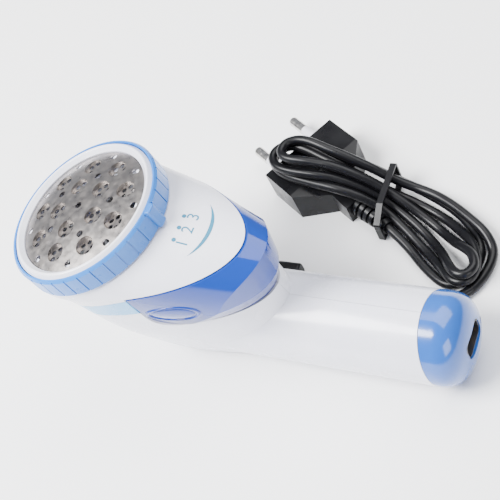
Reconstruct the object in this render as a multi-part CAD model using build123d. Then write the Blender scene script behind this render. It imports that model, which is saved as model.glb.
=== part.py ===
"""Rechargeable fabric shaver with a round foil head, pull-off lint bin, tube handle and mains charging lead.

Units are millimetres. The head axis stands at x = 0 while the parts are drawn, the shaver's tail points to +X,
its foil faces up and it lies on its belly at z = 0. Every part is moved by HEAD_X at the end, which centres
the shaver on the origin.
"""

import os
from math import cos, degrees, pi, radians, sin, sqrt, tan

from build123d import *

# ---------------------------------------------------------------- driving dimensions
HEAD_X = -47.75  # head axis, measured from the middle of the shaver's length
TAIL_END = 124.5  # from the head axis to the end of the tail cap
FACE_Z = 72.0  # height of the rim plane at the head axis
FACE_TILT = 9.2  # the face leans forward by this much

HANDLE_R = 15.8
HANDLE_Z = 15.0  # handle axis; the tube is cut flat at z = 0
WALL = 2.0
SEAM = 0.06  # half of the gap between the two body halves

RIM_R = 27.8  # white guard rim
RIM_BORE_R = 24.6
RIM_DEPTH = 6.0
LEVEL_LIFT = 0.8  # guard travel each way between two settings
LEVEL_TURN = 8.0  # ring travel each way between two settings

RING_R = 29.4  # blue adjusting ring
RING_BORE_R = 28.1
RING_TOP = 0.3  # depths are measured down the head axis from the rim plane
RING_BOTTOM = 8.3
RING_GROOVES = 36
TAB_R = 30.9
TAB_WIDTH = 4.2

FOIL_R = 24.3
FOIL_EDGE = 1.3
FOIL_RISE = 3.0
FOIL_SHEET = 0.35
CUP_R = 3.65
CUP_DEPTH = 1.5
CUP_HOLE_R = 0.95
CUP_HOLE_CIRCLE = 2.15
INNER_CUPS, INNER_CUP_CIRCLE, INNER_HOLE_CIRCLE = 5, 9.3, 12.6
OUTER_CUPS, OUTER_CUP_CIRCLE, OUTER_HOLE_CIRCLE = 9, 17.9, 22.1
LONE_HOLE_R = 1.25
INNER_START, OUTER_START = 48, 24

CUTTER_DROP = 2.7  # blade tips below the foil's outer surface
CHAMBER_R = 23.9
CHAMBER_WALL = 1.9
CHAMBER_FLOOR = 15.0
STEP_DEPTH = 10.0  # the chamber narrows here
CUP_FLOOR_R = 20.7
CUP_WALL = 1.6
FLANGE_R = 25.2
COLLAR_DEPTH = 10.6
CHAMBER_FLOOR_T = 1.6
MOTOR_R = 12.0
MOTOR_LENGTH = 25.0
SHAFT_R = 1.0
DRIVE_R = 3.0
RUNNING = 0.05  # radial clearance of a shaft in its bore
MOVING = 0.3  # gap between faces that slide past each other

SEAT_R = 28.6  # circle where the head shell meets the ring
SEAT_DEPTH = 8.8
PART_Z = 59.0  # plane under the head shell's rear, at the head axis
PART_TILT = 2.0
SHELL_W, SHELL_FRONT, SHELL_REAR = 28.2, 27.5, 57.5
BAND_END_X = 22.8  # the light trim band stops here
BAND_T = 1.9

BIN_FRONT_X = 23.5
BIN_FLOOR_Z = 38.4
BIN_CORNER_R = 6.5
BIN_REAR_X = 63.8
BIN_WALL = 1.6
BIN_GAP = 0.4
BIN_TRAVEL = 44.0

JOINT_X = 112.7  # tail cap joint on the handle axis
JOINT_LEAN = 12.4
CELL_R = 7.1
CELL_LENGTH = 49.5
CELL_START = 8.0

INLET_Z = 17.8
INLET_SHELL = (12.6, 7.8, 2.6)  # width, height, corner radius
INLET_WELL = (11.2, 6.4, 1.9)
INLET_PIN_R, INLET_PIN_Y = 1.0, 2.8
LED_R, LED_Y, LED_Z = 1.25, 8.7, 14.4

SWITCH_X = 78.0
SWITCH_TRAVEL = 4.0

# the lead lies on the floor beside the shaver, in coordinates measured from the middle of the shaver
PLUG_FRONT = (-14.1, 73.7)  # middle of the plug's front face
PLUG_TURN = 148.0  # direction in which its pins point
PLUG_W, PLUG_T, PLUG_L = 34.0, 13.7, 36.0
RELIEF_L = 16.0
PIN_R, PIN_L, PIN_Y = 2.0, 19.0, 9.5
SLEEVE_L = 10.0
CORD_R = 1.8
CONNECTOR_X, CONNECTOR_Y, CONNECTOR_Z = 2.0, 20.6, 3.5  # where its cord goes in
CORD_ROUTE = (
    (69.0, 40.0, 1.9),
    (68.5, 31.5, 2.0),
    (65.0, 24.8, 2.3),
    (59.4, 21.2, 2.2),
    (46.0, 19.8, 2.2),
    (30.0, 19.8, 2.3),
    (17.0, 20.4, 2.8),
    (8.0, 20.6, 3.5),
)
HANK_OUTLINE = (
    (-22, 68), (-18, 73.8), (-8, 74.3), (8, 69.5), (20, 68.5), (33, 68), (44, 65), (55, 59.5), (64, 51.5),
    (69.5, 43), (69.5, 36), (65.5, 29.5), (59, 24), (53, 24.5), (45, 31), (36.5, 39.5), (32, 46), (31, 52.5),
    (20, 52.5), (8, 52.5), (-4, 54.5), (-16, 59),
)  # fmt: skip
HANK_RISE = ((-24, 14.2), (11, 14.2), (20, 9.8), (29, 4.0), (38, 0.0), (75, 0.0))  # underside, along X
HANK_T = 6.6

# ---------------------------------------------------------------- planes and small helpers
HEAD = Plane(
    origin=(0, 0, FACE_Z),
    x_dir=(cos(radians(FACE_TILT)), 0, sin(radians(FACE_TILT))),
    z_dir=(-sin(radians(FACE_TILT)), 0, cos(radians(FACE_TILT))),
)
parts = {}
lead = {}


def level(z, tilt=0.0):
    """A plane that crosses the head axis line x = 0 at height z and rises towards the tail by tilt."""
    a = radians(tilt)
    return Plane(origin=(0, 0, z), x_dir=(cos(a), 0, sin(a)), z_dir=(-sin(a), 0, cos(a)))


def egg(plane, front, rear, half_width, centre=0.0, fullness=0.5):
    """Closed outline: half an ellipse in front of centre and a longer, slimmer nose behind it."""
    w = half_width
    tip, nose = centre - front, centre + rear
    k = 0.552
    sides = []
    for s in (1, -1):
        sides.append(Bezier((tip, 0), (tip, s * k * w), (centre - k * front, s * w), (centre, s * w)))
        sides.append(
            Bezier((centre, s * w), (centre + fullness * rear, s * w), (nose, s * fullness * w), (nose, 0))
        )
    return plane * make_face(sides)


def tube_x(radius, x0, x1, y=0.0, z=HANDLE_Z):
    """Cylinder along X between two stations."""
    return Pos((x0 + x1) / 2, y, z) * Rot(0, 90, 0) * Cylinder(radius, x1 - x0)


def disc(radius, top, bottom, x=0.0, y=0.0):
    """Cylinder on the head axis between two depths, in the head's own coordinates."""
    return Pos(x, y, -(top + bottom) / 2) * Cylinder(radius, bottom - top)


def washer(outer, inner, top, bottom):
    return disc(outer, top, bottom) - disc(inner, top - 1, bottom + 1)


def on_circle(radius, count, start=0.0):
    """Points spread evenly on a circle about the head axis."""
    for i in range(count):
        a = radians(start) + 2 * pi * i / count
        yield radius * cos(a), radius * sin(a), degrees(a)


def block(x0, x1, y0, y1, z0, z1):
    return Pos((x0 + x1) / 2, (y0 + y1) / 2, (z0 + z1) / 2) * Box(x1 - x0, y1 - y0, z1 - z0)


# ---------------------------------------------------------------- foil, guard rim and adjusting ring
DOME_R = (FOIL_R**2 + FOIL_RISE**2) / (2 * FOIL_RISE)
DOME_CENTRE = FOIL_RISE - FOIL_EDGE - DOME_R


def dome(lower_by):
    """Everything below the foil's outer surface lowered by lower_by, in the head's coordinates."""
    return Pos(0, 0, DOME_CENTRE - lower_by) * Sphere(DOME_R)


def dome_z(radius, inward=0.0):
    """Height of the dome, or of a sphere inward of it, at a radius."""
    return DOME_CENTRE + sqrt((DOME_R - inward) ** 2 - radius**2)


def foil_height(radius):
    """Depth of the foil's outer surface at a radius."""
    return FOIL_EDGE - FOIL_RISE * (1 - (radius / FOIL_R) ** 2)


def foil_sheet():
    """The domed sheet and its turned-down edge, before the cups and holes."""
    ri = FOIL_R - FOIL_SHEET
    foot = dome_z(FOIL_R) - 3.2
    outer = ThreePointArc((0, dome_z(0)), (FOIL_R / 2, dome_z(FOIL_R / 2)), (FOIL_R, dome_z(FOIL_R)))
    inner = ThreePointArc(
        (ri, dome_z(ri, FOIL_SHEET)), (ri / 2, dome_z(ri / 2, FOIL_SHEET)), (0, dome_z(0, FOIL_SHEET))
    )
    edge = [Line(outer @ 1, (FOIL_R, foot)), Line((FOIL_R, foot), (ri, foot)), Line((ri, foot), inner @ 0)]
    return revolve(Plane.XZ * make_face([outer, *edge, inner, Line(inner @ 1, outer @ 0)]), Axis.Z)


def foil_disc():
    sheet = foil_sheet()
    cups = [(x, y) for x, y, _ in on_circle(INNER_CUP_CIRCLE, INNER_CUPS, INNER_START)]
    cups += [(x, y) for x, y, _ in on_circle(OUTER_CUP_CIRCLE, OUTER_CUPS, OUTER_START)]
    wells, pressings, holes = [], [], [disc(LONE_HOLE_R, -6, 6)]
    for x, y in cups:
        top = foil_height(sqrt(x * x + y * y))
        wells.append(disc(CUP_R - FOIL_SHEET, -6, top + CUP_DEPTH, x, y))
        pressings.append(disc(CUP_R, top - 2, top + CUP_DEPTH + FOIL_SHEET, x, y) & dome(0))
        for hx, hy, _ in on_circle(CUP_HOLE_CIRCLE, 5, 90):
            holes.append(disc(CUP_HOLE_R, -6, 8, x + hx, y + hy))
    for circle, count, start in (
        (INNER_HOLE_CIRCLE, INNER_CUPS, INNER_START + 180 / INNER_CUPS),
        (OUTER_HOLE_CIRCLE, OUTER_CUPS, OUTER_START + 180 / OUTER_CUPS),
    ):
        holes += [disc(LONE_HOLE_R, -6, 8, x, y) for x, y, _ in on_circle(circle, count, start)]
    return HEAD * (sheet + pressings - wells - holes)


def guard_rim():
    outline = Polyline(
        (RIM_BORE_R, -RIM_DEPTH),
        (RIM_R, -RIM_DEPTH),
        (RIM_R, -0.9),
        (RIM_R - 1.1, 0.5),
        (RIM_BORE_R + 1.4, 0.5),
        (RIM_BORE_R, -0.9),
        close=True,
    )
    face = Plane.XZ * make_face(outline)
    ring = revolve(face, Axis.Z)
    crest = ring.edges().filter_by(GeomType.CIRCLE).group_by(Axis.Z)[-1]
    return HEAD * fillet(crest, 0.45)


def adjust_ring():
    outline = Polyline(
        (RING_BORE_R, -RING_BOTTOM),
        (RING_R, -RING_BOTTOM),
        (RING_R, -RING_TOP - 0.9),
        (RING_R - 0.7, -RING_TOP),
        (RING_BORE_R, -RING_TOP),
        close=True,
    )
    ring = revolve(Plane.XZ * make_face(outline), Axis.Z)
    grooves = []
    for x, y, a in on_circle(RING_R, RING_GROOVES, 5):
        grooves.append(Pos(x, y, -RING_BOTTOM / 2 - 0.8) * Rot(0, 0, a) * Box(0.8, 0.5, RING_BOTTOM))
    tab = block(RING_BORE_R + 0.8, TAB_R, -TAB_WIDTH / 2, TAB_WIDTH / 2, -RING_BOTTOM - 0.3, -RING_TOP)
    tab = fillet(tab.edges().filter_by(Axis.Z).group_by(Axis.X)[-1], 1.2)
    tab = fillet(tab.edges().group_by(Axis.X)[-1], 0.5)
    slot = block(RING_BORE_R, TAB_R, -TAB_WIDTH, TAB_WIDTH, -RING_BOTTOM, -RING_TOP - 1.2)
    return HEAD * ((ring - grooves) + (slot & ring) + tab)


# ---------------------------------------------------------------- cutter, fan and motor
def cutter_chamber():
    floor = CHAMBER_FLOOR + CHAMBER_FLOOR_T
    cup = washer(CHAMBER_R, CHAMBER_R - CHAMBER_WALL, FOIL_EDGE + FOIL_SHEET + 0.05, STEP_DEPTH)
    cup += washer(CHAMBER_R, CUP_FLOOR_R - CUP_WALL, STEP_DEPTH - 1.4, STEP_DEPTH)
    cup += washer(CUP_FLOOR_R, CUP_FLOOR_R - CUP_WALL, STEP_DEPTH - 1, floor)
    cup += washer(CUP_FLOOR_R, 3.0, CHAMBER_FLOOR, floor)
    cup += washer(FLANGE_R, CUP_FLOOR_R - 1, COLLAR_DEPTH + 0.05, COLLAR_DEPTH + 1.4)
    window = Pos(CUP_FLOOR_R, 0, -12.2) * Box(14, 24, 5.4)
    screws = [disc(1.0, 0, 30, x, y) + disc(1.9, 0, 16.1, x, y) for x, y, _ in on_circle(6.5, 2, 90)]
    return HEAD * (cup - window - screws)


def cutter_hub():
    hub = disc(6.0, 2.2, 4.6) + disc(4.4, 4.6, 7.0)
    return HEAD * ((hub & dome(CUTTER_DROP)) - disc(DRIVE_R + RUNNING, 3.0, 9.0))


def cutter_blades():
    blades = []
    for _, _, a in on_circle(1, 3, 30):
        plate = Rot(0, 0, a) * (Pos(13.4, 0, -3.4) * Rot(24, 0, 0) * Box(15, 0.9, 5.0))
        foot = Rot(0, 0, a) * block(5.4, 20.4, -1.6, 1.6, -4.9, -4.2)
        blades.append(((plate + foot) & dome(CUTTER_DROP) & disc(20.9, -2, 5.0)) - disc(6.0, -2, 9))
    return HEAD * Compound(blades)


def cutter_spring():
    coil = Helix(pitch=1.0, height=2.2, radius=3.75)
    wire = Plane(origin=coil @ 0, z_dir=coil % 0) * Circle(0.28)
    return HEAD * (Pos(0, 0, -9.65) * sweep(wire, path=coil))


def drive_sleeve():
    return HEAD * (disc(DRIVE_R, 4.3, 10.0) - disc(SHAFT_R, 2, 12))


def lint_fan():
    fan = disc(4.5, 10.0, 14.4) + disc(18.3, 13.4, 14.2)
    for _, _, a in on_circle(1, 8):
        fan += Rot(0, 0, a) * block(3.6, 18.2, -0.5, 0.5, -13.6, -10.2)
    return HEAD * (fan - disc(SHAFT_R, 2, 20))


MOTOR_TOP = CHAMBER_FLOOR + CHAMBER_FLOOR_T


def motor_can():
    can = disc(MOTOR_R, MOTOR_TOP, MOTOR_TOP + MOTOR_LENGTH)
    flats = [Pos(0, s * (MOTOR_R - 0.9 + 5), -MOTOR_TOP - MOTOR_LENGTH / 2) * Box(30, 10, 30) for s in (1, -1)]
    can -= flats
    screws = [disc(1.0, 0, 21, x, y) for x, y, _ in on_circle(6.5, 2, 90)]
    return HEAD * (can - disc(SHAFT_R + RUNNING, 0, MOTOR_TOP + 12) - screws)


def motor_end_cap():
    depth = MOTOR_TOP + MOTOR_LENGTH
    cap = disc(MOTOR_R - 0.6, depth, depth + 2.2) + disc(3.2, depth + 2.2, depth + 3.6)
    tags = [Pos(0, s * 7.5, -depth - 4.4) * Box(2.4, 0.6, 4.4) for s in (1, -1)]
    return HEAD * (cap + tags)


def motor_bush():
    return HEAD * washer(3.0, SHAFT_R + RUNNING, MOTOR_TOP - 1.4, MOTOR_TOP)


def motor_screws():
    screws = [disc(1.0, 15.6, 20.8, x, y) + disc(1.9, 15.1, 16.1, x, y) for x, y, _ in on_circle(6.5, 2, 90)]
    return HEAD * Compound(screws)


# ---------------------------------------------------------------- head and body outlines
HEAD_SECTIONS = (
    # height, centre, front, rear, half width
    (52.0, 4.7, 26.4, 54.6, 26.4),
    (40.0, 7.0, 24.6, 54.2, 24.6),
    (28.0, 9.4, 22.1, 54.4, 22.1),
    (16.0, 12.3, 18.4, 54.0, 18.4),
    (6.0, 15.9, 15.2, 50.0, 15.0),
    (-3.0, 21.0, 11.0, 38.0, 9.0),
)


def body_form(inset=0.0):
    """Everything below the head shell: an egg-shaped plan that shrinks and moves back towards the floor."""
    sections = [egg(level(PART_Z, PART_TILT), SHELL_FRONT - inset, SHELL_REAR - inset, SHELL_W - inset)]
    for z, centre, front, rear, w in HEAD_SECTIONS:
        lift = inset * (1 - z / PART_Z) ** 3
        sections.append(egg(level(z + lift), front - inset, rear - inset, w - inset, centre))
    return loft(sections)


def shell_form(inset=0.0, drop=0.0):
    """Solid between the ring's seat and the plane below the shell, drawn in by inset, its top lowered by drop."""
    seat = Plane(HEAD.origin - HEAD.z_dir * (SEAT_DEPTH + drop), x_dir=HEAD.x_dir, z_dir=HEAD.z_dir)
    r = SEAT_R - inset
    top = egg(seat, r, r, r, fullness=0.552)
    foot = egg(
        level(PART_Z - 0.4 * drop, PART_TILT), SHELL_FRONT - inset, SHELL_REAR - inset, SHELL_W - inset
    )
    return loft([foot, top])


def cross_prism(edges, half_width=50):
    """Prism across the shaver from edges drawn in the XZ plane."""
    return Pos(0, half_width, 0) * extrude(make_face(edges), amount=2 * half_width, dir=(0, -1, 0))


def below_band_line(start, pull_a, pull_b, end, floor=-5.0):
    """Region in front of the bin and under a line that dips towards the nose of the head."""
    (x0, z0), (x1, z1) = start, end
    return cross_prism(
        [
            Bezier((x0, 0, z0), (pull_a[0], 0, pull_a[1]), (pull_b[0], 0, pull_b[1]), (x1, 0, z1)),
            Line((x1, 0, z1), (x1, 0, floor)),
            Line((x1, 0, floor), (x0, 0, floor)),
            Line((x0, 0, floor), (x0, 0, z0)),
        ]
    )


def under_top_line(drop=0.0):
    """Under the head shell's lower edge, from the bin's front to the nose."""
    return below_band_line((26.0, 58.9 - drop), (16.0, 58.5 - drop), (0.0, 50.0 - drop), (-34.0, 40.5 - drop))


def under_low_line(drop=0.0):
    """Under the trim band's lower edge."""
    return below_band_line((26.0, 49.4 - drop), (12.0, 47.2 - drop), (-4.0, 42.5 - drop), (-34.0, 34.0 - drop))


def bay(grow=0.0, roof=75.0):
    """The bin's bay in side view: an upright front with a round lower corner and a flat floor."""
    x, z = BIN_FRONT_X - grow, BIN_FLOOR_Z - grow
    r = BIN_CORNER_R + 0.5 * grow
    return cross_prism(
        [
            Line((x, 0, roof), (x, 0, z + 1.3 * r)),
            Bezier((x, 0, z + 1.3 * r), (x, 0, z + 0.35 * r), (x + 0.45 * r, 0, z), (x + 1.25 * r, 0, z)),
            Line((x + 1.25 * r, 0, z), (96, 0, z)),
            Line((96, 0, z), (96, 0, roof)),
            Line((96, 0, roof), (x, 0, roof)),
        ]
    )


# ---------------------------------------------------------------- head shell, trim band and lint bin
def head_shell():
    shell = shell_form() - shell_form(WALL, WALL)
    front = block(-60, BAND_END_X, -60, 60, 0, 80)
    cheek = (body_form() - body_form(WALL)) & front
    cheek -= under_top_line()
    skirt = (body_form(BAND_T + 0.05) - body_form(BAND_T + 1.6)) & block(-60, BAND_END_X - 0.4, -60, 60, 0, 80)
    skirt &= under_top_line(-1.0)
    skirt -= under_low_line(-0.05)
    collar = washer(RIM_R, CHAMBER_R + 0.5, RIM_DEPTH + 1.2, COLLAR_DEPTH)
    shell += cheek + skirt
    shell += HEAD * collar
    hole = disc(CHAMBER_R + 0.5, -5, COLLAR_DEPTH + 0.5) + disc(FLANGE_R + 0.3, COLLAR_DEPTH, 12.3)
    return shell - HEAD * (hole + disc(CUP_FLOOR_R + 0.3, 12, 18))


def trim_band():
    band = (body_form() - body_form(BAND_T)) & block(-60, BAND_END_X, -60, 60, 0, 80)
    return (band & under_top_line(0.15)) - under_low_line(-0.1)


def bin_form(inset=0.0):
    """The bin's outer skin: side walls that sweep into a rear shoulder, cut off by an upright rear face."""
    i = inset
    top_plane = level(PART_Z - 0.5, PART_TILT)
    walls = loft(
        [
            egg(level(BIN_FLOOR_Z - 0.01), 22 - i, 96 - i, 23.2 - i, centre=7, fullness=0.3),
            egg(top_plane, SHELL_FRONT - i, SHELL_REAR + 0.8 - i, SHELL_W + 0.1 - i),
        ]
    )
    rear = loft(
        [
            egg(level(BIN_FLOOR_Z - 0.02), 26 - i, 61.0 - i, 26.3 - i),
            egg(level(BIN_FLOOR_Z + 7), 30 - i, BIN_REAR_X - i, 30.5 - i),
            egg(level(PART_Z + 4), 34 - i, BIN_REAR_X + 0.3 - i, 36 - i),
        ],
        ruled=True,
    )
    return walls & rear


def lint_bin():
    bucket = bin_form() & bay()
    bucket -= bin_form(BIN_WALL) & bay(-BIN_WALL)
    mouth = egg(level(PART_Z - 4, PART_TILT), SHELL_FRONT, SHELL_REAR - 2.2, SHELL_W - 2.4)
    bucket -= extrude(mouth, amount=20) & block(BIN_FRONT_X + BIN_WALL, 90, -40, 40, 50, 80)
    return bucket


# ---------------------------------------------------------------- lower body and tail cap
def joint_half_space(shift=0.0):
    """Everything behind the leaning joint between handle and tail cap."""
    return Pos(JOINT_X + shift, 0, HANDLE_Z) * Rot(0, -JOINT_LEAN, 0) * block(0, 60, -40, 40, -40, 40)


SCREW_SPOTS = ((-1.5, 19.5), (50.0, 4.3), (101.0, 4.3))
SCREW_R, BOSS_R = 1.3, 3.1


def screw_seat(x):
    """Distance of a screw head's seat from the middle plane."""
    return 9.0 if x < 0 else 6.0


def screw(x, z):
    """A body screw driven in from the +Y side, its head sunk in the boss."""
    seat = screw_seat(x)
    shank = Pos(x, (seat - 6) / 2, z) * Rot(90, 0, 0) * Cylinder(SCREW_R, seat + 6)
    head = Pos(x, seat + 0.9, z) * Rot(90, 0, 0) * Cylinder(2.5, 1.8)
    slot = Pos(x, seat + 1.8, z) * (Box(3.6, 1.0, 0.6) + Box(0.6, 1.0, 3.6))
    return shank + head - slot


def body_shell():
    handle = tube_x(HANDLE_R, 8, JOINT_X + 12) - joint_half_space()
    outer = (body_form() - under_low_line_above()) + handle
    outer &= block(-60, 200, -60, 60, 0, 80)
    bore = tube_x(HANDLE_R - WALL, 10, JOINT_X + 14) & block(0, 200, -60, 60, WALL, 60)
    room = body_form(WALL) + bore
    room -= bay(BIN_GAP + WALL)
    shell = outer - room - bay(BIN_GAP)
    for x, z in SCREW_SPOTS:
        boss = Pos(x, 0, z) * Rot(90, 0, 0) * Cylinder(BOSS_R, 60)
        shell += boss & outer
    for x, z in SCREW_SPOTS:
        seat = screw_seat(x)
        shell -= Pos(x, seat / 2 - 3.1, z) * Rot(90, 0, 0) * Cylinder(SCREW_R + RUNNING, seat + 6.2)
        shell -= Pos(x, seat + 20, z) * Rot(90, 0, 0) * Cylinder(2.6, 40)
    pad = block(SWITCH_X - 10.5, SWITCH_X + 10.5, 12.3, 15.6, HANDLE_Z - 5.8, HANDLE_Z + 5.8) & outer
    pocket = block(SWITCH_X - 9, SWITCH_X + 9, 14.1, 20, HANDLE_Z - 4.2, HANDLE_Z + 4.2)
    slot = block(SWITCH_X - 5.2, SWITCH_X + 5.2, 11.9, 20, HANDLE_Z - 2, HANDLE_Z + 2)
    return (shell + pad) - pocket - slot


def under_low_line_above():
    """What lies over the trim band's lower line in front of the bin."""
    return block(-60, 26, -60, 60, 0, 90) - under_low_line()


def tail_dome(inset=0.0):
    """The tail's rounded end, drawn in by inset."""
    r, end = HANDLE_R - inset, TAIL_END - inset
    outline = [
        Line((90, 0), (90, r)),
        Line((90, r), (JOINT_X + 1.5, r)),
        Bezier((JOINT_X + 1.5, r), (JOINT_X + 8.6, r), (end, 0.64 * r), (end, 0)),
        Line((end, 0), (90, 0)),
    ]
    face = Plane(origin=(0, 0, HANDLE_Z), x_dir=(1, 0, 0), z_dir=(0, -1, 0)) * make_face(outline)
    return revolve(face, Axis((0, 0, HANDLE_Z), (1, 0, 0)))


def rounded_bar(length, width, height, radius):
    return fillet(Box(length, width, height).edges().filter_by(Axis.X), radius)


def tail_cap():
    above_floor = block(60, 160, -40, 40, 0, 60)
    cap = (tail_dome() & above_floor) & joint_half_space(0.25)
    cap -= tail_dome(WALL) & block(60, 160, -40, 40, WALL, 60)
    spigot = tube_x(HANDLE_R - WALL - 0.05, JOINT_X - 4, JOINT_X + 4)
    spigot -= tube_x(HANDLE_R - 2 * WALL, JOINT_X - 9, JOINT_X + 9)
    spigot &= block(60, 160, -40, 40, WALL + 0.05, 60)
    cap += (spigot & joint_half_space(-2.6)) - (joint_half_space(3) - tail_dome(1))
    cap -= Pos(TAIL_END, 0, INLET_Z) * rounded_bar(20, *INLET_SHELL)
    return cap - tube_x(LED_R, 110, 130, LED_Y, LED_Z)


def inlet_socket():
    front = TAIL_END - 0.9
    body = Pos(front - 4.6, 0, INLET_Z) * rounded_bar(9.2, *INLET_SHELL)
    body -= Pos(front - 3.0, 0, INLET_Z) * rounded_bar(9.2, *INLET_WELL)
    return body - [tube_x(INLET_PIN_R, front - 12, front, y, INLET_Z) for y in (-INLET_PIN_Y, INLET_PIN_Y)]


def inlet_pins():
    front = TAIL_END - 0.9
    pins = []
    for y in (-INLET_PIN_Y, INLET_PIN_Y):
        pin = tube_x(INLET_PIN_R, front - 11.5, front - 1.6, y, INLET_Z)
        pins.append(chamfer(pin.edges().group_by(Axis.X)[-1], 0.35))
    return Compound(pins)


def charge_led():
    return tube_x(LED_R, 116.5, 122.8, LED_Y, LED_Z)


# ---------------------------------------------------------------- inside the handle
def battery_cell(index):
    x0 = CELL_START + index * CELL_LENGTH
    can = tube_x(CELL_R, x0, x0 + CELL_LENGTH - 1.2)
    return can + tube_x(2.8, x0 + CELL_LENGTH - 1.2, x0 + CELL_LENGTH)


def battery_contacts():
    front = block(CELL_START - 0.65, CELL_START - 0.05, -5, 5, HANDLE_Z - 5, HANDLE_Z + 7)
    end = CELL_START + 2 * CELL_LENGTH + 0.05
    rear = block(end, end + 0.6, -5, 5, HANDLE_Z - 5, HANDLE_Z + 7)
    return Compound([front, rear])


def charger_board():
    return block(84, 107, -8, 8, HANDLE_Z + 8.4, HANDLE_Z + 9.6)


def board_parts():
    top = HANDLE_Z + 9.6
    pieces = [
        Pos(89, -3.4, top + 1.4) * Cylinder(2.4, 2.8),
        block(93, 97, -4, 1, top, top + 2.4),
        block(99, 102.5, -2, 2, top, top + 1.6),
        block(88, 92, 2.2, 5.6, top, top + 1.8),
    ]
    return Compound(pieces)


def switch_body():
    return block(SWITCH_X - 7, SWITCH_X + 7, 8.2, 11.9, HANDLE_Z - 3.2, HANDLE_Z + 3.2)


def switch_button():
    off = SWITCH_X - SWITCH_TRAVEL / 2
    plate = block(off - 6, off + 6, 14.25, 16.0, HANDLE_Z - 3.7, HANDLE_Z + 3.7)
    plate = fillet(plate.edges().filter_by(Axis.Y), 1.5)
    plate = fillet(plate.edges().group_by(Axis.Y)[-1], 0.5)
    for i in range(-2, 3):
        plate -= Pos(off + 1.7 * i, 16.1, HANDLE_Z) * Box(0.7, 0.8, 5.4)
    stem = block(off - 2.8, off + 2.8, 12.1, 14.5, HANDLE_Z - 1.7, HANDLE_Z + 1.7)
    return plate + stem


def wiring():
    """Two insulated wires from the motor's tags along the cells to the board."""
    runs = []
    for s in (1, -1):
        path = FilletPolyline(
            (10, s * 9.4, 24.5), (22, s * 9.6, 22.5), (66, s * 8.4, 22.3), (83.6, s * 6.4, 24.0), radius=6
        )
        runs.append(sweep(Plane(origin=path @ 0, z_dir=path % 0) * Circle(0.6), path=path))
    return Compound(runs)


# ---------------------------------------------------------------- charging lead
PLUG = Plane(
    origin=(*PLUG_FRONT, PLUG_T / 2),
    x_dir=(-cos(radians(PLUG_TURN)), -sin(radians(PLUG_TURN)), 0),
    z_dir=(0, 0, 1),
)  # X runs back from the front face, Y across the pins


def plug_body():
    """Flat two-pin body: full width at the front, then tapering in width and height to the strain relief."""
    w, n = PLUG_W / 2, 5.6
    plan = make_face(
        Polyline((0, -w), (18, -w), (28, -n), (PLUG_L, -n), (PLUG_L, n), (28, n), (18, w), (0, w), close=True)
    )
    body = Pos(0, 0, -PLUG_T / 2) * extrude(plan, amount=PLUG_T)
    t = PLUG_T / 2
    side = make_face(
        Polyline((-1, 0, -t), (40, 0, -t), (40, 0, 9 - t), (PLUG_L, 0, 9 - t), (17, 0, t), (-1, 0, t), close=True)
    )
    body &= Pos(0, 20, 0) * extrude(side, amount=40, dir=(0, -1, 0))
    body = chamfer(body.edges().group_by(Axis.X)[0], 0.6)
    body -= [pin_bar(PIN_R - 0.5, -1, 5, y) for y in (-PIN_Y, PIN_Y)]
    return PLUG * body


def pin_bar(radius, x0, x1, y):
    return tube_x(radius, x0, x1, y, 0)


def plug_pins():
    pins = []
    for y in (-PIN_Y, PIN_Y):
        tip = pin_bar(PIN_R, -PIN_L, -SLEEVE_L, y)
        tip = fillet(tip.edges().group_by(Axis.X)[0], 1.6)
        pins.append(PLUG * (tip + pin_bar(PIN_R - 0.5, -SLEEVE_L - 1, 4.9, y)))
    return Compound(pins)


def pin_sleeves():
    return Compound([
        PLUG * (pin_bar(PIN_R - 0.05, -SLEEVE_L, 0, y) - pin_bar(PIN_R - 0.5, -SLEEVE_L - 1, 1, y))
        for y in (-PIN_Y, PIN_Y)
    ])  # fmt: skip


def plug_relief():
    """Tapered strain relief with bending grooves, lying on the floor behind the plug."""
    outline = [(PLUG_L, 0), (PLUG_L, 4.4)]
    for i in range(5):
        x, r = PLUG_L + 2.0 + 2.7 * i, 4.3 - 0.3 * i
        outline += [(x, r), (x, r - 0.9), (x + 1.1, r - 1.0), (x + 1.1, r - 0.1)]
    outline += [(PLUG_L + RELIEF_L, 2.7), (PLUG_L + RELIEF_L, 0)]
    face = Plane.XZ * make_face(Polyline(*outline, close=True))
    relief = revolve(face, Axis.X)
    return PLUG * (Pos(0, 0, 4.5 - PLUG_T / 2) * relief)


def lead_cord():
    """The stretch of cord from the hank to the connector: straight runs joined by arcs."""
    points = [Vector(*p) for p in CORD_ROUTE]
    radii = []
    for a, b, c in zip(points, points[1:], points[2:]):
        turn = radians((b - a).get_angle(c - b))
        radii.append(0.45 * min((b - a).length, (c - b).length) / tan(turn / 2))
    path = FilletPolyline(*points, radius=radii)
    return sweep(Plane(origin=path @ 0, z_dir=path % 0) * Circle(CORD_R), path=path)


def lead_hank():
    """Outer shape of the tied hank: it lies on the plug at one end and on the floor at the other."""
    plan = extrude(make_face(Polyline(*HANK_OUTLINE, close=True)), amount=40)
    under = [(x, 0, z) for x, z in HANK_RISE]
    over = [(x, 0, z + HANK_T) for x, z in reversed(HANK_RISE)]
    band = Pos(0, 90, 0) * extrude(make_face(Polyline(*under, *over, close=True)), amount=90, dir=(0, -1, 0))
    return plan & band


def cord_tie():
    """Wire tie round the hank and the plug's strain relief."""
    inner = Polyline((43.9, 0.9), (43.9, 9.0), (51, 12.6), (68.6, 12.6), (68.6, 2.6), (56, 0.9), close=True)
    face = make_face(offset(inner, 0.8)) - make_face(inner)
    return extrude(Plane(origin=(26.4, 0, 0), x_dir=(0, 1, 0), z_dir=(1, 0, 0)) * face, amount=2.4)


def connector_relief():
    cone = Rot(0, 90, 0) * Cone(3.1, 2.3, 6)
    return Pos(CONNECTOR_X + 3, CONNECTOR_Y, CONNECTOR_Z) * cone


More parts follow.
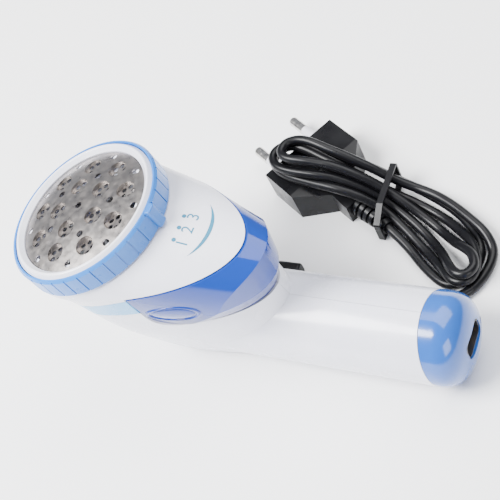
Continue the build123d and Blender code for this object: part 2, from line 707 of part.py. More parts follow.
def connector_body():
    """Connector that fits the charging inlet, lying flat beside the handle."""
    grip = fillet(Box(16, 11.6, 7.0).edges().filter_by(Axis.X), 2.4)
    grip = fillet(grip.edges().group_by(Axis.X)[-1], 0.8)
    nose = Pos(-11.5, 0, 0) * rounded_bar(7, 10.8, 6.0, 1.7)
    body = grip + nose
    body -= [tube_x(INLET_PIN_R + 0.25, -16, -7.5, y, 0) for y in (-INLET_PIN_Y, INLET_PIN_Y)]
    return Pos(CONNECTOR_X - 8, CONNECTOR_Y, CONNECTOR_Z) * body


def connector_contacts():
    sleeves = []
    for y in (-INLET_PIN_Y, INLET_PIN_Y):
        sleeve = tube_x(INLET_PIN_R + 0.24, -13.5, -7.6, y, 0) - tube_x(INLET_PIN_R, -14, -7.9, y, 0)
        sleeves.append(Pos(CONNECTOR_X - 8, CONNECTOR_Y, CONNECTOR_Z) * sleeve)
    return Compound(sleeves)


# ---------------------------------------------------------------- gather and write
def build_lead():
    lead["plug_body"] = plug_body()
    lead["plug_pins"] = plug_pins()
    lead["pin_sleeves"] = pin_sleeves()
    lead["plug_relief"] = plug_relief()
    lead["lead_cord"] = lead_cord()
    lead["lead_hank"] = lead_hank()
    lead["cord_tie"] = cord_tie()
    lead["connector_relief"] = connector_relief()
    lead["connector_body"] = connector_body()
    lead["connector_contacts"] = connector_contacts()


def build():
    parts["foil_disc"] = foil_disc()
    parts["guard_rim"] = guard_rim()
    parts["adjust_ring"] = adjust_ring()
    parts["cutter_chamber"] = cutter_chamber()
    parts["cutter_hub"] = cutter_hub()
    parts["cutter_blades"] = cutter_blades()
    parts["cutter_spring"] = cutter_spring()
    parts["drive_sleeve"] = drive_sleeve()
    parts["lint_fan"] = lint_fan()
    parts["motor_shaft"] = HEAD * disc(SHAFT_R, 4.6, MOTOR_TOP + 8)
    parts["motor_bush"] = motor_bush()
    parts["motor_can"] = motor_can()
    parts["motor_end_cap"] = motor_end_cap()
    parts["motor_screws"] = motor_screws()
    parts["head_shell"] = head_shell()
    parts["trim_band"] = trim_band()
    parts["lint_bin"] = lint_bin()
    shell = body_shell()
    parts["body_left"] = shell & block(-80, 200, SEAM, 60, -5, 90)
    parts["body_right"] = shell & block(-80, 200, -60, -SEAM, -5, 90)
    parts["body_screws"] = Compound([screw(x, z) for x, z in SCREW_SPOTS])
    parts["tail_cap"] = tail_cap()
    parts["inlet_socket"] = inlet_socket()
    parts["inlet_pins"] = inlet_pins()
    parts["charge_led"] = charge_led()
    parts["battery_cell_front"] = battery_cell(0)
    parts["battery_cell_rear"] = battery_cell(1)
    parts["battery_contacts"] = battery_contacts()
    parts["charger_board"] = charger_board()
    parts["board_parts"] = board_parts()
    parts["switch_body"] = switch_body()
    parts["switch_button"] = switch_button()
    parts["wiring"] = wiring()


if __name__ == "__main__":
    build()
    build_lead()
    os.makedirs("parts", exist_ok=True)
    for name, shape in parts.items():
        export_step(Pos(HEAD_X, 0, 0) * shape, f"parts/{name}.step")
    for name, shape in lead.items():
        export_step(shape, f"parts/{name}.step")
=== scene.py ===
"""Fabric shaver with its mains charging lead, finished for display."""

import math

import bmesh
import bpy
from bpy.props import FloatProperty, FloatVectorProperty, IntProperty, PointerProperty
from mathutils import Matrix, Vector
from mathutils.bvhtree import BVHTree


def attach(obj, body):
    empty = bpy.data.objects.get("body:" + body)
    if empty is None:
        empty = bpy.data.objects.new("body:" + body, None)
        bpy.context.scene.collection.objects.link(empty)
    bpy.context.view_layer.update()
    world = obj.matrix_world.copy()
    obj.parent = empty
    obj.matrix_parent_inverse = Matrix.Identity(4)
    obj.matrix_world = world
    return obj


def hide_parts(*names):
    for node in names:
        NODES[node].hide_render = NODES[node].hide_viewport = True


bl_info = {
    "name": "Fabric Shaver",
    "version": (1, 0, 0),
    "blender": (4, 5, 0),
    "location": "View3D > Sidebar > Shaver",
    "description": "Finishes a fabric shaver: plastics, steel foil, printed marks and charging lead",
    "category": "Object",
}

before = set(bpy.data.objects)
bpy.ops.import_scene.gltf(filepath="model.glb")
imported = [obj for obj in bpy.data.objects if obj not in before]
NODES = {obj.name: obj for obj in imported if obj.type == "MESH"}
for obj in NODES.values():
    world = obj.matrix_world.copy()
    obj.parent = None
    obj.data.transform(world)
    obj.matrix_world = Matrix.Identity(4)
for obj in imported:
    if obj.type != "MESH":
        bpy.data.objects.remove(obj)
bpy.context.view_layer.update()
MM = 0.001
THUMB_SPOT = (-13.75, -22.0, 47.2)  # middle of the bin's thumb grip, in millimetres
RIDGE_RADIUS = 0.0046
RIDGE_BEAD = 0.00042
PAD_RADIUS = 0.0036
BLACK = (0.003, 0.003, 0.004)
BLACK_SHADE = (0.006, 0.006, 0.007)
LOW_GLOSS = (0.3, 0.42)
DULL = (0.35, 0.5)


# ---------------------------------------------------------------- settings
class PlasticColours(bpy.types.PropertyGroup):
    """Colours of the moulded plastics."""

    white: FloatVectorProperty(
        name="White", description="Body, head and guard rim", subtype="COLOR", default=(0.80, 0.81, 0.89)
    )
    white_shade: FloatVectorProperty(
        name="White shade", description="Slight unevenness of the white", subtype="COLOR",
        default=(0.74, 0.75, 0.85),
    )
    ring: FloatVectorProperty(
        name="Ring", description="Adjusting ring", subtype="COLOR", default=(0.022, 0.19, 0.60)
    )
    ring_shade: FloatVectorProperty(
        name="Ring shade", description="Darker tone of the ring", subtype="COLOR", default=(0.016, 0.15, 0.52)
    )
    band: FloatVectorProperty(
        name="Band", description="Trim band under the head", subtype="COLOR", default=(0.10, 0.44, 0.80)
    )
    band_shade: FloatVectorProperty(
        name="Band shade", description="Darker tone of the band", subtype="COLOR", default=(0.075, 0.38, 0.74)
    )
    cap: FloatVectorProperty(
        name="Cap", description="Tail cap", subtype="COLOR", default=(0.016, 0.11, 0.44)
    )
    cap_shade: FloatVectorProperty(
        name="Cap shade", description="Darker tone of the cap", subtype="COLOR", default=(0.012, 0.09, 0.38)
    )
    bin_clear: FloatVectorProperty(
        name="Bin", description="Clear blue of the lint bin", subtype="COLOR", default=(0.010, 0.075, 0.50)
    )
    # painted shade: this darker blue is laid on the bin's lower part by height, standing in for shade, not for
    # thicker plastic
    bin_painted_shade: FloatVectorProperty(
        name="Bin depth", description="Deep blue where the bin is thick", subtype="COLOR",
        default=(0.002, 0.018, 0.20),
    )
    mark: FloatVectorProperty(
        name="Marks", description="Printed numbers, dots and arc", subtype="COLOR", default=(0.004, 0.15, 0.27)
    )


class MetalColours(bpy.types.PropertyGroup):
    """Colours of the metals."""

    foil: FloatVectorProperty(
        name="Foil", description="Shaving foil", subtype="COLOR", default=(0.50, 0.46, 0.43)
    )
    foil_dull: FloatVectorProperty(
        name="Foil dull", description="Duller patches of the foil", subtype="COLOR", default=(0.36, 0.34, 0.33)
    )
    pin: FloatVectorProperty(
        name="Pins", description="Nickel of the mains pins", subtype="COLOR", default=(0.72, 0.70, 0.67)
    )
    brass: FloatVectorProperty(
        name="Brass", description="Contacts in the inlet", subtype="COLOR", default=(0.80, 0.58, 0.27)
    )


class LeadSizes(bpy.types.PropertyGroup):
    """Sizes of the charging lead."""

    diameter: FloatProperty(
        name="Diameter", description="Thickness of the cord", default=0.0036, unit="LENGTH", min=0.001
    )
    sides: IntProperty(name="Sides", description="Roundness of the cord", default=4, min=2, max=12)


class MarkSizes(bpy.types.PropertyGroup):
    """Sizes of the printed marks."""

    number: FloatProperty(
        name="Number height", description="Size of the printed numbers", default=0.0056, unit="LENGTH"
    )
    dot: FloatProperty(
        name="Dot radius", description="Radius of the printed dots", default=0.00075, unit="LENGTH"
    )
    arc_radius: FloatProperty(
        name="Arc radius", description="Radius of the printed arc", default=0.0142, unit="LENGTH"
    )


# ---------------------------------------------------------------- materials
def new_material(name):
    material = bpy.data.materials.new(name)
    material.use_nodes = True
    tree = material.node_tree
    tree.nodes.clear()
    output = tree.nodes.new("ShaderNodeOutputMaterial")
    shader = tree.nodes.new("ShaderNodeBsdfPrincipled")
    tree.links.new(shader.outputs["BSDF"], output.inputs["Surface"])
    return material, tree, shader


def noise(tree, scale, detail=3.0, stretch=None):
    """Noise on Object coordinates, in turns per metre."""
    where = tree.nodes.new("ShaderNodeTexCoord")
    texture = tree.nodes.new("ShaderNodeTexNoise")
    texture.inputs["Scale"].default_value = scale
    texture.inputs["Detail"].default_value = detail
    if stretch:
        mapping = tree.nodes.new("ShaderNodeMapping")
        mapping.inputs["Scale"].default_value = stretch
        tree.links.new(where.outputs["Object"], mapping.inputs["Vector"])
        tree.links.new(mapping.outputs["Vector"], texture.inputs["Vector"])
    else:
        tree.links.new(where.outputs["Object"], texture.inputs["Vector"])
    return texture.outputs["Fac"]


def two_tone(tree, shader, factor, tone, shade, low=0.35, high=0.65):
    ramp = tree.nodes.new("ShaderNodeValToRGB")
    ramp.color_ramp.elements[0].position = low
    ramp.color_ramp.elements[0].color = (*shade, 1)
    ramp.color_ramp.elements[1].position = high
    ramp.color_ramp.elements[1].color = (*tone, 1)
    tree.links.new(factor, ramp.inputs["Fac"])
    tree.links.new(ramp.outputs["Color"], shader.inputs["Base Color"])


def uneven_gloss(tree, shader, factor, low, high):
    spread = tree.nodes.new("ShaderNodeMapRange")
    spread.inputs["From Min"].default_value = 0.3
    spread.inputs["From Max"].default_value = 0.7
    spread.inputs["To Min"].default_value = low
    spread.inputs["To Max"].default_value = high
    tree.links.new(factor, spread.inputs["Value"])
    tree.links.new(spread.outputs["Result"], shader.inputs["Roughness"])


def grain(tree, shader, factor, depth):
    bump = tree.nodes.new("ShaderNodeBump")
    bump.inputs["Distance"].default_value = depth
    bump.inputs["Strength"].default_value = 1.0
    tree.links.new(factor, bump.inputs["Height"])
    tree.links.new(bump.outputs["Normal"], shader.inputs["Normal"])


def moulded(
    name,
    tone,
    shade,
    gloss=(0.20, 0.30),
    ripple=2.0e-6,
    ripple_scale=900,
    coat=0.25,
    depth=0.06,
    dark=False,
):
    """Moulded plastic with faint flow tones, uneven gloss and a fine surface ripple."""
    material, tree, shader = new_material(name)
    two_tone(tree, shader, noise(tree, 35), tone, shade)
    uneven_gloss(tree, shader, noise(tree, 160, 4), *gloss)
    grain(tree, shader, noise(tree, ripple_scale, 2), ripple)
    shader.inputs["Coat Weight"].default_value = coat
    shader.inputs["Coat Roughness"].default_value = 0.08
    if dark:
        shader.inputs["Specular IOR Level"].default_value = 0.22
    if depth:
        shader.inputs["Subsurface Weight"].default_value = depth
        shader.inputs["Subsurface Radius"].default_value = (1.0, 1.0, 1.2)
        shader.inputs["Subsurface Scale"].default_value = 0.002
    return material


def metal(name, tone, dull, gloss, scale=220, ripple=1.5e-6, stretch=None):
    """Metal with dull patches, uneven gloss and fine scratches."""
    material, tree, shader = new_material(name)
    two_tone(tree, shader, noise(tree, scale, 5, stretch), tone, dull)
    uneven_gloss(tree, shader, noise(tree, 1.7 * scale, 5, stretch), *gloss)
    grain(tree, shader, noise(tree, 12 * scale, 2, stretch), ripple)
    shader.inputs["Metallic"].default_value = 1.0
    return material


def clear_bin(name, tone, lower_painted_shade):
    """Clear blue plastic with painted shade: darker towards its lower edge, lighter towards its top, and random
    blotches.
    """
    material, tree, shader = new_material(name)
    where = tree.nodes.new("ShaderNodeTexCoord")
    split = tree.nodes.new("ShaderNodeSeparateXYZ")
    tree.links.new(where.outputs["Object"], split.inputs["Vector"])
    # painted shade and light: the colour runs by height from dark at the lower edge to light at the top
    height = tree.nodes.new("ShaderNodeMapRange")
    height.inputs["From Min"].default_value = 0.0375
    height.inputs["From Max"].default_value = 0.0470
    tree.links.new(split.outputs["Z"], height.inputs["Value"])
    # random blotches are added on top of the painted shade
    blotch_and_painted_shade = tree.nodes.new("ShaderNodeMath")
    blotch_and_painted_shade.operation = "MULTIPLY_ADD"
    blotch_and_painted_shade.inputs[1].default_value = 0.25
    tree.links.new(noise(tree, 60), blotch_and_painted_shade.inputs[0])
    tree.links.new(height.outputs["Result"], blotch_and_painted_shade.inputs[2])
    two_tone(tree, shader, blotch_and_painted_shade.outputs["Value"], tone, lower_painted_shade, 0.1, 0.9)
    uneven_gloss(tree, shader, noise(tree, 120, 3), 0.06, 0.12)
    grain(tree, shader, noise(tree, 500, 2), 1.5e-6)
    shader.inputs["Transmission Weight"].default_value = 0.45
    shader.inputs["IOR"].default_value = 1.45
    shader.inputs["Coat Weight"].default_value = 0.3
    return material


def paint(node, material):
    for slot in NODES[node].material_slots:
        slot.material = material


# ---------------------------------------------------------------- new pieces
def add_piece(name, bm, body, material):
    """Makes the object of a finished bmesh and lets it ride on a body."""
    mesh = bpy.data.meshes.new(name)
    bm.to_mesh(mesh)
    bm.free()
    mesh.materials.append(material)
    piece = bpy.data.objects.new(name, mesh)
    bpy.context.scene.collection.objects.link(piece)
    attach(piece, body)
    return piece


def surface_of(node):
    bm = bmesh.new()
    bm.from_mesh(NODES[node].data)
    tree = BVHTree.FromBMesh(bm)
    bm.free()
    return tree


def lay_on(bm, tree, lift=0.00006):
    """Drops a flat print straight down onto a surface, an ink film's height above it."""
    for vert in bm.verts:
        hit = tree.ray_cast(Vector((vert.co.x, vert.co.y, 0.2)), Vector((0, 0, -1)))[0]
        if hit is None:
            raise RuntimeError("a printed mark misses the head shell")
        vert.co.z = hit.z + lift
    bmesh.ops.recalc_face_normals(bm, faces=bm.faces)
    if sum(face.normal.z for face in bm.faces) < 0:
        bmesh.ops.reverse_faces(bm, faces=bm.faces)


def raise_from(bm, tree, toward, level):
    """Moves each point along a direction until its height above level is its height above the surface."""
    for vert in bm.verts:
        height = level - vert.co.dot(toward)
        hit = tree.ray_cast(vert.co - toward * 0.006, toward)[0]
        if hit is None:
            raise RuntimeError("the thumb grip misses the bin")
        vert.co = hit - toward * height


def round_off(bm):
    for face in bm.faces:
        face.smooth = True


def thumb_ridge(place):
    """A round bead spun into a ring and widened along the wall."""
    bm = bmesh.new()
    upright = Matrix.Translation((RIDGE_RADIUS, 0, 0)) @ Matrix.Rotation(math.pi / 2, 4, "X")
    bmesh.ops.create_circle(bm, segments=10, radius=RIDGE_BEAD, matrix=upright)
    bmesh.ops.spin(
        bm,
        geom=bm.verts[:] + bm.edges[:],
        cent=(0, 0, 0),
        axis=(0, 0, 1),
        angle=2 * math.pi,
        steps=64,
        use_merge=True,
    )
    bmesh.ops.scale(bm, vec=(2.05, 1.0, 1.0), verts=bm.verts)
    bmesh.ops.transform(bm, matrix=place, verts=bm.verts)
    return bm


def thumb_pad(place):
    """A shallow lens that fills the ridge."""
    bm = bmesh.new()
    bmesh.ops.create_uvsphere(bm, u_segments=40, v_segments=16, radius=PAD_RADIUS)
    bmesh.ops.scale(bm, vec=(2.2, 1.0, 0.16), verts=bm.verts)
    bmesh.ops.transform(bm, matrix=place, verts=bm.verts)
    return bm


# ---------------------------------------------------------------- operators
class SHAVER_OT_camera(bpy.types.Operator):
    """Camera above the shaver's near side"""

    bl_idname = "shaver.camera"
    bl_label = "Camera"

    def execute(self, context):
        data = bpy.data.cameras.new("view_camera")
        data.lens = 72.8
        data.sensor_width = 36.0
        data.clip_start = 0.01
        data.clip_end = 10.0
        camera = bpy.data.objects.new("view_camera", data)
        bpy.context.scene.collection.objects.link(camera)
        right = Vector((0.873, 0.3366, -0.3529)).normalized()
        down = Vector((0.1052, -0.8366, -0.5377))
        forward = right.cross(down).normalized()
        down = forward.cross(right)
        turn = Matrix((right, -down, -forward)).transposed()
        camera.matrix_world = Matrix.Translation((0.16381, -0.13884, 0.30326)) @ turn.to_4x4()
        bpy.context.scene.camera = camera
        return {"FINISHED"}


CORD_POINTS = (
    # strain relief, lowest strand, right fold
    (29.4, 46.5, 4.5), (34.6, 43.2, 3.6), (39.6, 39.6, 2.2), (45.0, 34.6, 1.9), (50.4, 30.2, 1.9),
    (55.4, 27.2, 1.9), (59.2, 27.0, 1.9), (63.0, 29.8, 1.9), (65.2, 34.2, 1.9), (65.9, 39.6, 1.9),
    # outer loop, over the tie, left fold on the plug
    (64.6, 45.2, 1.9), (60.0, 51.6, 1.9), (52.4, 57.8, 1.9), (43.6, 62.6, 2.0), (35.4, 65.4, 3.6),
    (27.6, 66.6, 6.9), (20.0, 67.0, 11.9), (12.0, 67.6, 15.6), (3.0, 69.4, 16.0), (-9.0, 72.2, 16.0),
    (-16.6, 72.0, 16.0), (-20.6, 67.8, 16.0), (-19.2, 62.2, 16.0), (-13.0, 58.0, 16.0), (-2.0, 55.6, 16.0),
    # first return
    (8.0, 54.2, 16.0), (17.0, 53.8, 13.3), (23.0, 53.2, 9.8), (27.6, 52.2, 6.9), (33.6, 48.8, 3.9),
    (40.4, 43.8, 2.1), (47.6, 38.0, 1.9), (52.8, 33.4, 3.4), (56.4, 29.6, 5.4), (60.0, 26.4, 5.8),
    # middle loop
    (64.4, 26.6, 5.8), (66.8, 30.6, 5.8), (66.2, 36.0, 5.8), (64.2, 40.6, 5.8), (61.0, 44.6, 5.3),
    (56.8, 48.4, 3.4), (50.4, 53.4, 2.0), (42.0, 57.4, 2.2), (34.4, 59.4, 4.2), (27.6, 60.4, 6.9),
    (20.0, 61.4, 11.9), (12.0, 62.8, 15.8), (4.0, 65.0, 17.6), (-5.5, 68.2, 19.6), (-12.0, 69.4, 19.9),
    (-17.2, 68.4, 19.9), (-19.2, 63.8, 19.9), (-16.2, 59.4, 19.9), (-10.0, 57.4, 19.8), (0.0, 57.2, 19.2),
    # second return
    (8.0, 57.9, 17.3), (17.0, 57.7, 13.3), (23.0, 57.1, 9.8), (27.6, 56.2, 6.9), (34.2, 53.0, 4.1),
    (41.6, 48.4, 2.1), (48.8, 42.4, 1.9), (53.6, 37.0, 5.0), (57.4, 31.4, 8.8), (60.8, 27.6, 9.5),
    # inner strand of the middle loop
    (65.0, 27.2, 9.6), (67.4, 31.2, 9.6), (65.2, 36.2, 9.3), (60.6, 39.6, 7.6), (56.2, 42.9, 4.4),
    (51.6, 46.8, 2.2), (45.8, 50.8, 2.4), (39.0, 54.2, 5.0), (33.2, 56.4, 8.0), (27.6, 58.4, 10.6),
    (18.0, 59.6, 17.0), (8.0, 60.6, 20.9), (2.0, 60.5, 22.1), (-4.0, 60.2, 23.3), (-9.4, 60.2, 23.6),
    (-13.8, 62.4, 23.7), (-13.6, 67.4, 23.7), (-9.0, 69.8, 23.6), (-4.0, 69.6, 23.3),
    # last strand, on top of the outer loop and down to the connector
    (3.0, 67.8, 21.9), (10.0, 66.6, 19.9), (20.0, 65.2, 15.3), (27.6, 64.4, 10.1), (36.0, 63.6, 6.6),
    (44.0, 61.8, 5.7), (52.0, 57.8, 5.7), (59.6, 52.8, 5.5), (65.8, 48.4, 4.9), (69.8, 43.4, 2.2),
    (70.2, 37.5, 1.9), (68.5, 30.5, 2.0), (65.0, 24.6, 2.1), (59.4, 21.0, 2.2), (46.0, 19.8, 2.2),
    (30.0, 19.8, 2.3), (17.0, 20.4, 2.8), (10.0, 20.6, 3.5), (6.5, 20.6, 3.5),
)  # fmt: skip


class SHAVER_OT_lead(bpy.types.Operator):
    """Charging cord, folded over the plug in three loops and tied"""

    bl_idname = "shaver.lead"
    bl_label = "Charging lead"

    def execute(self, context):
        sizes = context.scene.shaver_lead
        curve = bpy.data.curves.new("charging_cord", "CURVE")
        curve.dimensions = "3D"
        curve.resolution_u = 8
        curve.bevel_depth = sizes.diameter / 2
        curve.bevel_resolution = sizes.sides
        curve.use_fill_caps = True
        spline = curve.splines.new("NURBS")
        spline.points.add(len(CORD_POINTS) - 1)
        for point, (x, y, z) in zip(spline.points, CORD_POINTS):
            point.co = (x * MM, y * MM, z * MM, 1)
        spline.order_u = 3
        spline.use_endpoint_u = True
        sheath = moulded("cord_sheath", BLACK, BLACK_SHADE, (0.26, 0.38), 6.0e-6, 1400, 0.0, 0, True)
        curve.materials.append(sheath)
        cord = bpy.data.objects.new("charging_cord", curve)
        bpy.context.scene.collection.objects.link(cord)
        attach(cord, "shaver")
        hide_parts("lead_cord", "lead_hank")
        return {"FINISHED"}


class SHAVER_OT_white_shells(bpy.types.Operator):
    """White plastic of the body halves, head shell and guard rim"""

    bl_idname = "shaver.white_shells"
    bl_label = "White shells"

    def execute(self, context):
        colours = context.scene.shaver_plastics
        white = moulded("white_gloss", colours.white, colours.white_shade, (0.20, 0.30))
        for node in ("body_left", "body_right", "head_shell", "guard_rim"):
            paint(node, white)
        inner = moulded("white_satin", colours.white_shade, colours.white, (0.38, 0.48), 4.0e-6, 700, 0.0)
        for node in ("cutter_chamber", "cutter_hub", "drive_sleeve"):
            paint(node, inner)
        return {"FINISHED"}


class SHAVER_OT_blue_parts(bpy.types.Operator):
    """Blue adjusting ring, trim band and tail cap"""

    bl_idname = "shaver.blue_parts"
    bl_label = "Blue parts"

    def execute(self, context):
        colours = context.scene.shaver_plastics
        paint("adjust_ring", moulded("ring_gloss", colours.ring, colours.ring_shade, (0.26, 0.36)))
        paint("trim_band", moulded("band_gloss", colours.band, colours.band_shade, (0.22, 0.32)))
        paint("tail_cap", moulded("cap_gloss", colours.cap, colours.cap_shade, (0.14, 0.22), coat=0.5))
        return {"FINISHED"}


class SHAVER_OT_lint_bin(bpy.types.Operator):
    """Clear blue lint bin"""

    bl_idname = "shaver.lint_bin"
    bl_label = "Lint bin"

    def execute(self, context):
        colours = context.scene.shaver_plastics
        clear = clear_bin("bin_clear", colours.bin_clear, colours.bin_painted_shade)
        paint("lint_bin", clear)
        wall = surface_of("lint_bin")
        for side, mirror in (("right", 1), ("left", -1)):
            guess = Vector((THUMB_SPOT[0] * MM, THUMB_SPOT[1] * MM * mirror, THUMB_SPOT[2] * MM))
            spot, normal = wall.find_nearest(guess)[:2]
            along = (Vector((1, 0, 0)) - normal * normal.x).normalized()
            turn = Matrix((along, normal.cross(along), normal)).transposed().to_4x4()
            place = Matrix.Translation(spot) @ turn
            ridge = thumb_ridge(place)
            raise_from(ridge, wall, -normal, -normal.dot(spot))
            bmesh.ops.recalc_face_normals(ridge, faces=ridge.faces)
            round_off(ridge)
            add_piece(f"bin_thumb_ridge_{side}", ridge, "bin", clear)
            pad = thumb_pad(place)
            raise_from(pad, wall, -normal, -normal.dot(spot))
            round_off(pad)
            add_piece(f"bin_thumb_pad_{side}", pad, "bin", clear)
        return {"FINISHED"}


class SHAVER_OT_steel(bpy.types.Operator):
    """Shaving foil, blades, spring, screws and motor"""

    bl_idname = "shaver.steel"
    bl_label = "Steel parts"

    def execute(self, context):
        colours = context.scene.shaver_metals
        paint("foil_disc", metal("foil_satin", colours.foil, colours.foil_dull, (0.26, 0.40), 260, 2.0e-6))
        bright = metal("ground_steel", (0.60, 0.60, 0.60), (0.45, 0.45, 0.46), (0.18, 0.32), 300)
        for node in ("cutter_blades", "cutter_spring", "body_screws", "motor_screws", "motor_shaft"):
            paint(node, bright)
        can = metal("plated_steel", (0.55, 0.56, 0.57), (0.42, 0.43, 0.45), (0.25, 0.4), 150)
        paint("motor_can", can)
        return {"FINISHED"}


class SHAVER_OT_inside(bpy.types.Operator):
    """Motor ends, fan, cells, board, switch and wires"""

    bl_idname = "shaver.inside"
    bl_label = "Inner parts"

    def execute(self, context):
        metals = context.scene.shaver_metals
        brass = metal("brass", metals.brass, (0.62, 0.43, 0.19), (0.22, 0.36), 400)
        for node in ("battery_contacts", "inlet_pins", "motor_bush", "connector_contacts"):
            paint(node, brass)
        grey = moulded("grey_plastic", (0.30, 0.31, 0.33), (0.25, 0.26, 0.28), (0.35, 0.5), 5e-6, 900, 0.0, 0)
        for node in ("motor_end_cap", "lint_fan", "board_parts", "switch_body", "switch_button"):
            paint(node, grey)
        wrap = moulded("cell_wrap", (0.05, 0.30, 0.16), (0.04, 0.25, 0.13), (0.25, 0.4), 5e-6, 700, 0.1, 0)
        for node in ("battery_cell_front", "battery_cell_rear"):
            paint(node, wrap)
        board = moulded("board_green", (0.02, 0.20, 0.07), (0.015, 0.15, 0.05), (0.3, 0.45), 4e-6, 2500)
        paint("charger_board", board)
        paint("wiring", moulded("wire_red", (0.55, 0.04, 0.03), (0.45, 0.03, 0.03), DULL, 3e-6, 900, 0, 0))
        socket = moulded("socket_black", (0.02, 0.02, 0.024), (0.03, 0.03, 0.035), LOW_GLOSS, 4e-6, 1200, 0, 0)
        paint("inlet_socket", socket)
        lens = moulded("lamp_lens", (0.06, 0.05, 0.08), (0.10, 0.06, 0.10), (0.1, 0.2), 1e-6, 900, 0.4, 0)
        paint("charge_led", lens)
        return {"FINISHED"}


class SHAVER_OT_plug(bpy.types.Operator):
    """Mains plug, its pins and the charging connector"""

    bl_idname = "shaver.plug"
    bl_label = "Plug and connector"

    def execute(self, context):
        metals = context.scene.shaver_metals
        rubber = moulded("plug_black", BLACK, BLACK_SHADE, (0.24, 0.38), 8.0e-6, 900, 0.0, 0, True)
        for node in ("plug_body", "plug_relief", "connector_relief", "connector_body"):
            paint(node, rubber)
        tie = moulded(
            "tie_black", (0.004, 0.004, 0.005), (0.008, 0.008, 0.009), (0.3, 0.4), 4e-6, 1500, 0.0, 0, True
        )
        paint("cord_tie", tie)
        paint("plug_pins", metal("nickel", metals.pin, (0.50, 0.48, 0.46), (0.16, 0.28), 420, 1.2e-6))
        sleeve = moulded("sleeve_white", (0.72, 0.71, 0.76), (0.62, 0.61, 0.68), LOW_GLOSS, 3e-6, 900, 0.1)
        paint("pin_sleeves", sleeve)
        return {"FINISHED"}


class SHAVER_OT_marks(bpy.types.Operator):
    """Printed numbers, dots and arc beside the ring"""

    bl_idname = "shaver.marks"
    bl_label = "Printed marks"

    def execute(self, context):
        sizes = context.scene.shaver_marks
        colour = context.scene.shaver_plastics.mark
        ink = moulded("mark_ink", colour, (0.006, 0.19, 0.32), (0.35, 0.45), 1e-6, 2000, 0, 0)
        shell = surface_of("head_shell")
        dots = ((-11.75, -4.6), (-11.65, 0.0), (-11.75, 4.6))
        for index, (x, y) in enumerate(dots):
            bm = bmesh.new()
            bmesh.ops.create_circle(
                bm, cap_ends=True, radius=sizes.dot, segments=20, matrix=Matrix.Translation((x * MM, y * MM, 0))
            )
            lay_on(bm, shell)
            add_piece(f"mark_dot_{index + 1}", bm, "shaver", ink)
            words = bpy.data.curves.new("number", "FONT")
            words.body = str(index + 1)
            words.size = sizes.number
            words.align_x = "CENTER"
            words.align_y = "CENTER"
            text = bpy.data.objects.new("number", words)
            bpy.context.scene.collection.objects.link(text)
            bpy.context.view_layer.update()
            mesh = bpy.data.meshes.new_from_object(text.evaluated_get(bpy.context.evaluated_depsgraph_get()))
            bpy.data.objects.remove(text)
            bpy.data.curves.remove(words)
            bm = bmesh.new()
            bm.from_mesh(mesh)
            bpy.data.meshes.remove(mesh)
            place = Matrix.Translation(((x + 3.1) * MM, (y * 1.12) * MM, 0)) @ Matrix.Rotation(math.pi / 2, 4, "Z")
            bmesh.ops.transform(bm, matrix=place, verts=bm.verts)
            bmesh.ops.remove_doubles(bm, verts=bm.verts, dist=1e-7)
            lay_on(bm, shell)
            add_piece(f"mark_number_{index + 1}", bm, "shaver", ink)
        # arc below the numbers: an edge spun about a point beside the ring, then thinned at both ends
        r = sizes.arc_radius
        centre = Vector((-16.75 * MM, 1.4 * MM, 0))
        half = 0.75
        bm = bmesh.new()
        inner = bm.verts.new(centre + Vector((r, 0, 0)))
        outer = bm.verts.new(centre + Vector((r + 0.0013, 0, 0)))
        edge = bm.edges.new((inner, outer))
        bmesh.ops.rotate(bm, verts=bm.verts, cent=centre, matrix=Matrix.Rotation(-half, 3, "Z"))
        bmesh.ops.spin(bm, geom=[inner, outer, edge], cent=centre, axis=(0, 0, 1), angle=2 * half, steps=32)
        for vert in bm.verts:
            out = vert.co - centre
            turn = math.atan2(out.y, out.x) / half
            width = max(0.08, 1 - turn * turn)
            middle = r + 0.00065
            out.length = middle + (out.length - middle) * width
            vert.co = centre + out
        lay_on(bm, shell)
        add_piece("mark_arc", bm, "shaver", ink)
        return {"FINISHED"}


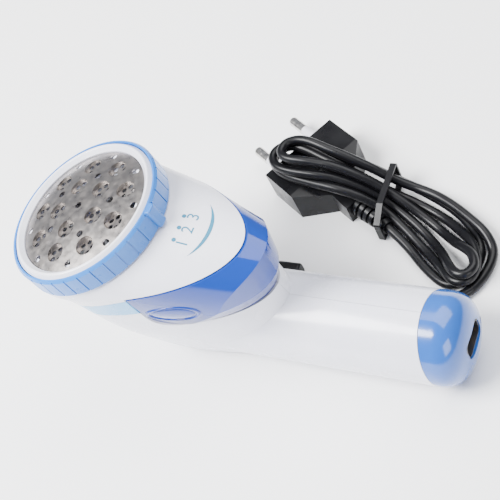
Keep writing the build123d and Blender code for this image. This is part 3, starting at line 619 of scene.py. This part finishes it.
class SHAVER_OT_stage(bpy.types.Operator):
    """Pale floor, soft studio lights and a pale surround"""

    bl_idname = "shaver.stage"
    bl_label = "Stage"

    def execute(self, context):
        bm = bmesh.new()
        bmesh.ops.create_grid(bm, x_segments=1, y_segments=1, size=3.0)
        mesh = bpy.data.meshes.new("floor")
        bm.to_mesh(mesh)
        bm.free()
        material, tree, shader = new_material("floor_paper")
        two_tone(tree, shader, noise(tree, 3), (0.95, 0.95, 0.95), (0.94, 0.94, 0.945))
        shader.inputs["Roughness"].default_value = 0.9
        mesh.materials.append(material)
        floor = bpy.data.objects.new("floor", mesh)
        bpy.context.scene.collection.objects.link(floor)
        lights = (
            ("key", (-0.45, -0.30, 0.80), 0.5, 34.0),
            ("top", (0.15, 0.45, 0.95), 0.9, 14.0),
            ("side", (0.75, -0.55, 0.45), 0.5, 5.0),
        )
        for name, place, size, power in lights:
            data = bpy.data.lights.new(name, "AREA")
            data.size = size
            data.energy = power
            lamp = bpy.data.objects.new(name, data)
            bpy.context.scene.collection.objects.link(lamp)
            lamp.location = place
            lamp.rotation_euler = (Vector(place) - Vector((0, 0, 0.03))).to_track_quat("Z", "Y").to_euler()
        world = bpy.data.worlds.new("surround")
        world.use_nodes = True
        world.node_tree.nodes["Background"].inputs["Color"].default_value = (0.86, 0.90, 1.0, 1)
        world.node_tree.nodes["Background"].inputs["Strength"].default_value = 0.42
        bpy.context.scene.world = world
        return {"FINISHED"}


class SHAVER_PT_panel(bpy.types.Panel):
    """Shows one button for each finishing step"""

    bl_idname = "SHAVER_PT_panel"
    bl_label = "Fabric Shaver"
    bl_space_type = "VIEW_3D"
    bl_region_type = "UI"
    bl_category = "Shaver"

    def draw(self, context):
        for operator in OPERATORS:
            self.layout.operator(operator.bl_idname)


OPERATORS = (
    SHAVER_OT_camera,
    SHAVER_OT_lead,
    SHAVER_OT_white_shells,
    SHAVER_OT_blue_parts,
    SHAVER_OT_lint_bin,
    SHAVER_OT_steel,
    SHAVER_OT_inside,
    SHAVER_OT_plug,
    SHAVER_OT_marks,
    SHAVER_OT_stage,
)
SETTINGS = {
    "shaver_plastics": PlasticColours,
    "shaver_metals": MetalColours,
    "shaver_lead": LeadSizes,
    "shaver_marks": MarkSizes,
}


def register():
    for name, group in SETTINGS.items():
        bpy.utils.register_class(group)
        setattr(bpy.types.Scene, name, PointerProperty(type=group))
    for operator in OPERATORS:
        bpy.utils.register_class(operator)
    bpy.utils.register_class(SHAVER_PT_panel)


def unregister():
    bpy.utils.unregister_class(SHAVER_PT_panel)
    for operator in reversed(OPERATORS):
        bpy.utils.unregister_class(operator)
    for name, group in SETTINGS.items():
        delattr(bpy.types.Scene, name)
        bpy.utils.unregister_class(group)


def main():
    register()
    for operator in OPERATORS:
        getattr(bpy.ops.shaver, operator.bl_idname.split(".")[1])()
    bpy.context.view_layer.update()


if __name__ == "__main__":
    main()
